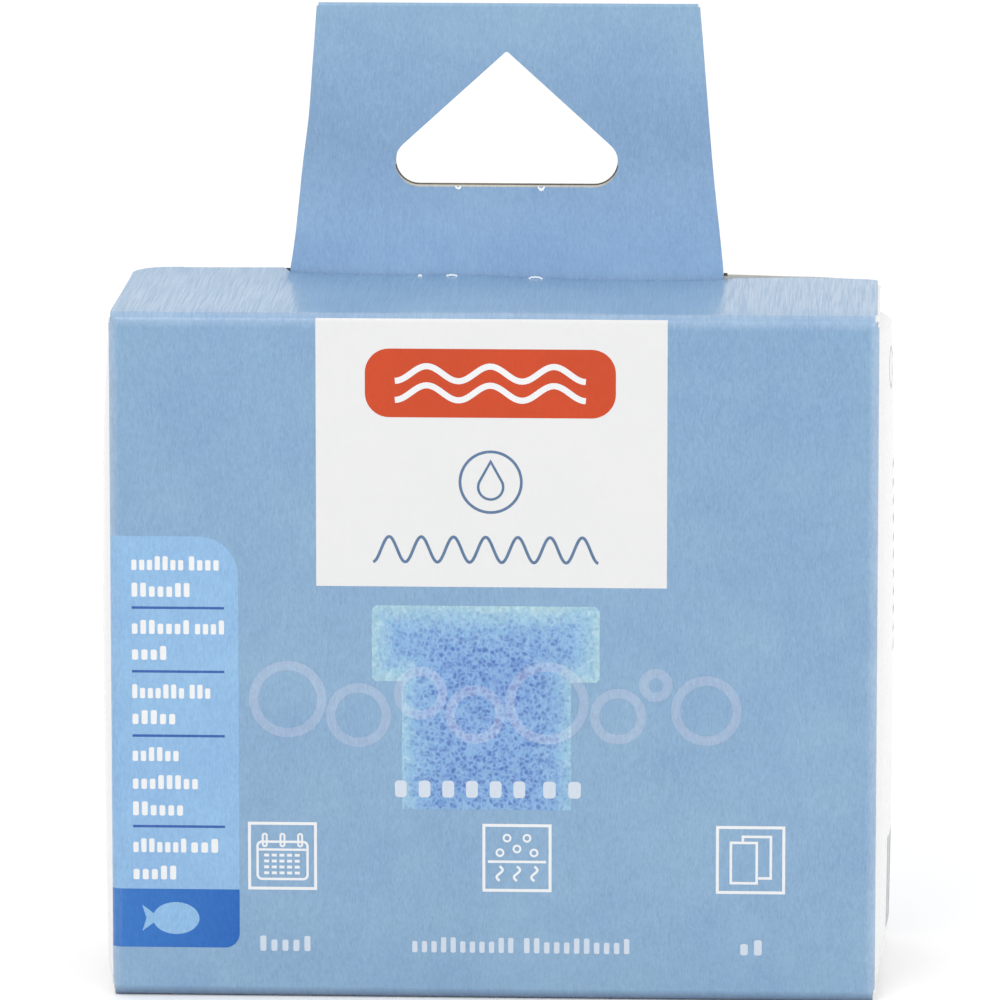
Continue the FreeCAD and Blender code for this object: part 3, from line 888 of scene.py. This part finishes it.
def ribbon(path, width, closed=False):
    """A stroke of even width along a path, mitred at its corners."""
    count = len(path)
    points, faces = [], []
    for i, (s, t) in enumerate(path):
        before = path[i - 1] if i or closed else path[i]
        after = path[(i + 1) % count] if i < count - 1 or closed else path[i]
        runs = []
        for (s0, t0), (s1, t1) in ((before, path[i]), (path[i], after)):
            length = hypot(s1 - s0, t1 - t0)
            if length > 1e-9:
                runs.append(((s1 - s0) / length, (t1 - t0) / length))
        ds = sum(run[0] for run in runs) / len(runs)
        dt = sum(run[1] for run in runs) / len(runs)
        reach = width / 2 / max(ds * ds + dt * dt, 0.25)
        points += [(s - dt * reach, t + ds * reach), (s + dt * reach, t - ds * reach)]
    for i in range(count if closed else count - 1):
        a, b = 2 * i, 2 * ((i + 1) % count)
        faces.append((a, b, b + 1, a + 1))
    return points, faces


def circle(s, t, radius, steps=48):
    return arc(s, t, radius, 0, 2 * pi, steps)[:-1]


def rounded_box(left, right, low, high, *radii):
    """A rectangle with one radius, or its own at each corner, anticlockwise from the lower left."""
    points = []
    corners = ((left, low, 180), (right, low, 270), (right, high, 0), (left, high, 90))
    for (s, t, first), radius in zip(corners, radii if len(radii) > 1 else radii * 4):
        if radius == 0:
            points.append((s, t))
            continue
        centre_s = s + radius if s == left else s - radius
        centre_t = t + radius if t == low else t - radius
        points += arc(centre_s, centre_t, radius, radians(first), radians(first + 90), 10)
    return points


def outline_box(left, right, low, high, stroke, radius=0.0):
    outer = rounded_box(left, right, low, high, radius)
    inside = (left + stroke, right - stroke, low + stroke, high - stroke)
    return area(outer, rounded_box(*inside, max(radius - stroke, 0.0)))


def droplet(s, t, radius, point):
    """A drop with its point up: a round foot and two straight sides that meet at the point."""
    half_turn = acos(radius / point)
    return [(s, t + point)] + arc(s, t, radius, pi / 2 + half_turn, pi / 2 - half_turn + 2 * pi, 40)


def wave(left, right, level, height, crests, stroke):
    path = []
    for k in spread(0, 1, 24 * crests):
        path.append((left + (right - left) * k, level - height / 2 * cos(2 * pi * crests * k)))
    return ribbon(path, stroke)


def greeked(left, right, foot, height, pitch, cover=0.66, low=0.74):
    """A word replaced by a row of plain blocks, one to a letter. low is a short block's height."""
    count = max(round((right - left) / pitch), 1)
    pitch = (right - left + pitch * (1 - cover)) / count
    width = pitch * cover
    blocks = []
    for i in range(count):
        start = left + i * pitch
        tall = sin(5.1 * i + 1.7 * left + foot) > 0.35
        top = foot + height * (1.0 if tall else low)
        blocks.append(area(rounded_box(start, start + width, foot, top, 0.3 * width)))
    return blocks


def greeked_lines(left, top, gap, height, pitch, lengths):
    blocks = []
    for row, length in enumerate(lengths):
        reach, word = left, 0
        while reach < left + length - 2 * pitch:
            letters = 3 + (3 * row + 5 * word) % 6
            end = min(reach + letters * pitch, left + length)
            blocks += greeked(reach, end, top - gap * row, height, pitch)
            reach = end + 1.2 * pitch
            word += 1
    return blocks


def stripes(left, right, foot, head):
    """Upright stripes of uneven widths, which stand in for a bar code and spell nothing."""
    shapes = []
    reach, turn = left, 0
    while reach < right:
        width = 0.3 + 0.22 * (turn * 7 % 3)
        path = [(reach + width / 2, t) for t in spread(foot, head, 30)]
        shapes.append(ribbon(path, width))
        reach += width + 0.32 + 0.24 * (turn * 5 % 4)
        turn += 1
    return shapes


def upright_face(y, turn=1):
    """Where print lies on an upright face. turn is 1 if it faces the front and -1 if the back."""
    return lambda s, t, lift: (turn * s, y - turn * lift, t)


on_front, on_back = upright_face(FRONT), upright_face(BACK, -1)
on_tab, on_tab_lining = upright_face(TAB_FACE), upright_face(BACK - BOARD)


def on_side(sign):
    out = HALF_WIDTH
    return lambda s, t, lift: (sign * (out + side_bulge(sign, sign * s, t) + lift), sign * s, t)


def on_lid(s, t, lift):
    """Standing up from the lid, just in front of its tuck fold."""
    y = TUCK_START - NICK_INSET
    return (s, y - lift, HEIGHT + lid_rise("top", s, y) + t)


def print_piece(name, ink, shapes, place=on_front, layer=1, body="carton"):
    """Ink on a face of the carton, as thin slabs just proud of the board."""
    bm = bmesh.new()
    for points, faces in shapes:
        above = [bm.verts.new(place(s * MM, t * MM, INK_LIFT * layer)) for s, t in points]
        below = [bm.verts.new(place(s * MM, t * MM, -INK_SINK)) for s, t in points]
        uses = Counter()
        for face in faces:
            uses.update(frozenset(side) for side in zip(face, face[1:] + face[:1]))
        for face in faces:
            bm.faces.new([above[i] for i in face])
            bm.faces.new([below[i] for i in reversed(face)])
            for a, b in zip(face, face[1:] + face[:1]):
                if uses[frozenset((a, b))] == 1:
                    bm.faces.new((above[b], above[a], below[a], below[b]))
    attach(finish_piece(name, bm, (inks[ink],)), body)


def tuft(s, t, width, height):
    """A thin, ragged arch of torn board fibres. It hangs down where height is negative."""
    path = []
    for k in spread(-1, 1, 9):
        fray = 0.8 + 0.2 * sin(41.0 * k + 7.0 * s)
        path.append((s + k * width / 2, t + height * sqrt(max(1 - k * k, 0)) * fray))
    return ribbon(path, 0.2)


def make_torn_nicks():
    """White fibres where the die left nicks, at the tab's foot and on the hole's lower edge."""
    marks = [tuft(s, 0.0, w, h) for s, w, h in TAB_NICKS]
    print_piece("torn_foot_nicks", "fibre", marks, on_lid, 3, "top_closure")
    # Painted shadows in the slits beside the tab's foot.
    gaps = [area(rounded_box(*gap, 0.1)) for gap in SLIT_SHADOWS]
    print_piece("tab_slit_shadows", "rim", gaps, on_tab_lining)
    low_edge = (tab_low.z + HOLE_FOOT - PLY_DROP) / MM
    marks = [tuft(s, low_edge, w, h) for s, w, h in HOLE_NICKS]
    print_piece("torn_hole_nicks", "fibre", marks, on_tab, 4, "hang_tab")
    # A painted shade line along the hole's lower edge, where the back ply's cut lies in shade.
    outline = [(x / MM, z / MM) for x, z in hole_outline(0.11 * MM, 0.02 * MM)]
    low_part = outline[-9:] + outline[:9]
    print_piece("painted_cut_shade", "rim", [ribbon(low_part, 0.2)], on_tab_lining, 1, "hang_tab")


def print_label():
    left, right, foot = LABEL
    print_piece("print_label", "label", [area(rounded_box(left, right, foot, SEAM / MM, 0))])

    def face(radius, x, a):
        return (x, LID_FRONT - radius * cos(a), SEAM + radius * sin(a))

    columns, faces = spread(left * MM, right * MM, 24), (inks["label"],) * 3
    outer, inner = CORNER + INK_LIFT, CORNER - INK_SINK
    wrap = board("print_label_head", columns, 0.0, LABEL_WRAP, 10, face, outer, faces, inner)
    bend(wrap, (0, FRONT, SEAM), (0, LID_FRONT, HEIGHT))
    left, right, low, high = PILL
    print_piece("print_bar", "orange", [area(rounded_box(*PILL, 3.4))], layer=2)
    middle = (low + high) / 2
    swell = [wave(left + 4.2, right - 4.2, middle + dt, 2.1, 3, 0.85) for dt in (-1.35, 1.35)]
    print_piece("print_bar_waves", "white", swell, layer=3)
    s, t, radius = EMBLEM
    drop = droplet(s, t - 0.7, 1.75, 3.6)
    emblem = [ribbon(circle(s, t, radius - 0.2), 0.4, True), ribbon(drop, 0.36, True)]
    print_piece("print_emblem", "slate", emblem, layer=2)
    print_piece("print_wave_line", "slate", [wave(*WAVE_LINE, 3.6, 7, 0.42)], layer=2)


def print_picture():
    left, right, low, high = PICTURE_HEAD
    stem_left, stem_right, foot = PICTURE_STEM
    outline = [(stem_left, foot), (stem_right, foot), (stem_right, low)]
    outline += [(right - 0.5, low), (right, low + 0.5), (right, high - 0.6), (right - 0.6, high)]
    outline += [(left + 0.6, high), (left, high - 0.6), (left, low + 0.5), (left + 0.5, low)]
    outline += [(stem_left, low)]
    print_piece("print_foam_picture", "picture", [area(outline)])
    rings = [ribbon(circle(s, BUBBLE_HEIGHT + dt, r, 64), 1.35, True) for s, dt, r in BUBBLES]
    print_piece("print_bubbles", "bubbles", rings, layer=2)
    left, right, foot, height = NAME_LINE
    split = left + 0.7 * (right - left)
    words = greeked(left, split, foot, height, 3.1, 0.5, 1.0)
    words += greeked(split + 2.4, right, foot, height, 3.1, 0.5, 1.0)
    print_piece("print_name_line", "pale", words, layer=3)


def print_legend():
    left = -front_high.x / MM
    panel = rounded_box(left, LEGEND_RIGHT, FOOTER_HEAD, LEGEND_HEAD, 0, 0, 5.6, 0)
    print_piece("print_legend", "legend", [area(panel)])
    footer = rounded_box(left, LEGEND_RIGHT, LEGEND_FOOT, FOOTER_HEAD, 0, 2.1, 0, 0)
    print_piece("print_footer", "footer", [area(footer)])
    words = []
    for level, *spans in LEGEND_LINES:
        for first, last in spans:
            words += greeked(LEGEND_LEFT + first, LEGEND_LEFT + last, level - 0.95, 2.0, 1.12)
    print_piece("print_legend_lines", "white", words, layer=2)
    right = LEGEND_LEFT + RULE_LENGTH
    rules = [ribbon([(LEGEND_LEFT, t), (right, t)], 0.36) for t in LEGEND_RULES]
    print_piece("print_legend_rules", "rule", rules, layer=2)
    middle = (LEGEND_FOOT + FOOTER_HEAD) / 2
    fish = [(-44.8 + 3.3 * cos(a), middle + 2.3 * sin(a)) for a in spread(-2.85, 2.85, 40)]
    fish += [(-49.6, middle + 1.9), (-49.0, middle), (-49.6, middle - 1.9)]
    print_piece("print_fish", "fish", [area(fish)], layer=2)


def print_icons():
    half, t = ICON_SIZE / 2, ICON_HEIGHT
    shapes = [outline_box(s - half, s + half, t - half, t + half, 0.42) for s in ICON_CENTRES]
    calendar, flow, sheets = ICON_CENTRES
    rings = [calendar + ds for ds in (-2.5, 0.0, 2.5)]
    binder = [outline_box(s - 0.42, s + 0.42, t + 1.25, t + 3.3, 0.28, 0.4) for s in rings]
    print_piece("print_icon_binder", "white", binder, layer=2)
    shapes += calendar_icon(calendar, t) + flow_icon(flow, t) + sheets_icon(sheets, t)
    print_piece("print_icons", "white", shapes)
    words = []
    for left, right in CAPTIONS:
        words += greeked(left, right, CAPTION_FOOT, 2.2, 1.35, 0.55)
    print_piece("print_captions", "pale", words)


def calendar_icon(s, t):
    shapes = [outline_box(s - 3.7, s + 3.7, t - 3.5, t + 2.2, 0.34, 0.8)]
    shapes.append(ribbon([(s - 3.34, t + 0.9), (s + 3.34, t + 0.9)], 0.32))
    for row in range(4):
        for column in range(5):
            left, level = s - 2.6 + 1.08 * column, t + 0.1 - 0.85 * row
            shapes.append(ribbon([(left, level), (left + 0.7, level)], 0.4))
    return shapes


def flow_icon(s, t):
    dots = ((-1.4, 2.85), (1.4, 2.85), (0.0, 1.3), (-2.4, 0.75), (2.4, 0.75))
    shapes = [ribbon(circle(s + ds, t + dt, 0.48, 24), 0.28, True) for ds, dt in dots]
    shapes.append(ribbon([(s - 4.1, t - 0.55), (s + 4.1, t - 0.55)], 0.36))
    for offset in (-2.45, 0.0, 2.45):
        steps = spread(0, 1, 20)
        path = [(s + offset + 0.42 * sin(2 * pi * k), t - 1.2 - 2.1 * k) for k in steps]
        shapes.append(ribbon(path, 0.34))
    return shapes


def sheets_icon(s, t):
    front = outline_box(s - 2.95, s + 1.05, t - 3.5, t + 2.65, 0.36)
    behind = [(s - 1.1, t + 2.68), (s - 1.1, t + 3.35), (s + 2.85, t + 3.35)]
    behind += [(s + 2.85, t - 2.6), (s + 1.08, t - 2.6)]
    return [front, ribbon(behind, 0.36)]


def print_sides():
    """On both white sides a ring, lines of plain blocks and stripes, and more lines on the back."""
    lengths = (21, 23, 18, 22, 12, 21, 20, 23, 17, 22, 9)
    for hand, sign in HANDS:
        lines = greeked_lines(-8.0, 74.0, 2.6, 1.3, 0.95, lengths)
        lines += stripes(-13.0, 11.0, 9.0, 22.0)
        lines.append(ribbon(circle(-10.4, 89.0, 2.8), 0.5, True))
        lines += greeked_lines(-5.6, 89.4, 2.4, 1.3, 0.95, (16, 12))
        print_piece(f"print_{hand}_side_lines", "grey", lines, on_side(sign))
    label = area(rounded_box(-38.0, 38.0, 12.0, 60.0, 2.5))
    print_piece("print_back_panel", "label", [label], on_back)
    lengths = (64, 60, 66, 30, 62, 65, 58, 41, 66, 60, 63, 22, 61, 48)
    lines = greeked_lines(-33.0, 54.5, 2.9, 1.4, 1.05, lengths)
    print_piece("print_back_lines", "navy", lines, on_back, 2)
    sketch = [(-16, 70), (-16, 82), (16, 82), (16, 70), (12, 70), (12, 64), (-12, 64), (-12, 70)]
    print_piece("print_back_outline", "white", [ribbon(sketch, 0.6, True)], on_back)


# ---- The foam block, and the CAD nodes that stay ----

VOXEL = 0.75 * MM
CELL = 2.1 * MM  # between the foam's cut pores
PIT_DEPTH = 0.75 * MM
RAGGEDNESS, RAGGED_WAVE = 0.25 * MM, 5 * MM


def make_sponge():
    """The T-shaped block, remeshed finely and pitted all over with open cells."""
    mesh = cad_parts["sponge"].data.copy()
    sponge = add_object("foam_block", mesh)
    modifier = sponge.modifiers.new("voxels", "REMESH")
    modifier.mode = "VOXEL"
    modifier.voxel_size = VOXEL
    graph = bpy.context.evaluated_depsgraph_get()
    fine = bpy.data.meshes.new_from_object(sponge.evaluated_get(graph))
    sponge.modifiers.clear()
    sponge.data = fine
    bpy.data.meshes.remove(mesh)
    fine.name = "foam_block"
    pits = []
    normals = [v.normal.copy() for v in fine.vertices]
    for vertex, normal in zip(fine.vertices, normals):
        distances, _ = noise.voronoi(vertex.co / CELL)
        wall = clamp((distances[1] - distances[0]) / 0.55)
        pit = wall * wall * (3 - 2 * wall)
        pits.append(pit)
        ragged = RAGGEDNESS * (noise.noise(vertex.co / RAGGED_WAVE) + 1) / 2
        vertex.co -= normal * (pit * PIT_DEPTH + ragged)
    fine.attributes.new("pit", "FLOAT", "POINT").data.foreach_set("value", pits)
    fine.polygons.foreach_set("use_smooth", [True] * len(fine.polygons))
    fine.materials.clear()
    fine.materials.append(foam_material())
    attach(sponge, "carton", "sponge")


def dress_cad_nodes():
    """The glued seam and the two glue films."""
    glue = glue_material()
    dress = {"glue_flap": raw, "glue_flap_fold": plain, "seam_glue": glue, "tab_glue": glue}
    for node, material in dress.items():
        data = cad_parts[node].data
        data.materials.clear()
        data.materials.append(material)


# ---- Floor, light and camera ----


def make_floor():
    bm = bmesh.new()
    steps, half_size = 12, 4.5
    bmesh.ops.create_grid(bm, x_segments=steps, y_segments=steps, size=half_size)
    finish_piece("floor", bm, (floor_material(),))


def floor_material():
    look = Look("studio_floor")
    patch = look.noise(3.0, detail=3.0)
    colour = look.ramp(patch, (0.3, srgb(248, 248, 248)), (0.7, srgb(251, 251, 251)))
    return look.finish({"Base Color": colour, "Roughness": 0.7})


def add_light(name, place, width, height, power):
    data = bpy.data.lights.new(name, "AREA")
    data.shape, data.size, data.size_y = "RECTANGLE", width, height
    data.energy = power
    lamp = add_object(name, data)
    lamp.location = place
    aim = Vector((0, 0, HEIGHT / 2)) - lamp.location
    lamp.rotation_euler = aim.to_track_quat("-Z", "Y").to_euler()


def make_lights():
    world = bpy.data.worlds.new("studio")
    bpy.context.scene.world = world
    world.use_nodes = True
    background = world.node_tree.nodes["Background"]
    background.inputs["Color"].default_value = (1, 1, 1, 1)
    background.inputs["Strength"].default_value = 1.04
    add_light("key_softbox", (-0.5, -1.3, 1.2), 0.8, 0.8, 6.5)
    add_light("fill_softbox", (1.4, -1.2, 0.5), 0.7, 0.7, 5.0)
    add_light("top_softbox", (0.0, 0.25, 1.5), 1.2, 1.2, 1.5)


CAMERA_DISTANCE = 1.2
CAMERA_YAW, CAMERA_PITCH = radians(2.62), radians(9.25)
CAMERA_AIM_HEIGHT = 67.9 * MM
CAMERA_LENS, CAMERA_SENSOR = 303.0, 36.0


def make_camera():
    data = bpy.data.cameras.new("camera")
    data.lens, data.sensor_width = CAMERA_LENS, CAMERA_SENSOR
    data.clip_start, data.clip_end = 0.05, 30
    camera = add_object("camera", data)
    flat = cos(CAMERA_PITCH)
    back = Vector((sin(CAMERA_YAW) * flat, -cos(CAMERA_YAW) * flat, sin(CAMERA_PITCH)))
    camera.location = Vector((0, 0, CAMERA_AIM_HEIGHT)) + back * CAMERA_DISTANCE
    camera.rotation_euler = (-back).to_track_quat("-Z", "Y").to_euler()
    bpy.context.scene.camera = camera


make_walls()
for carton_end in ENDS:
    make_lid(carton_end)
    make_front_fold(carton_end)
    make_tuck(carton_end)
    for side_hand, side_sign in HANDS:
        make_dust_flap(carton_end, side_hand, side_sign)
make_tab()
make_torn_nicks()
print_label()
print_picture()
print_legend()
print_icons()
print_sides()
make_sponge()
dress_cad_nodes()
make_floor()
make_lights()
make_camera()
bpy.context.scene.view_settings.view_transform = "Standard"
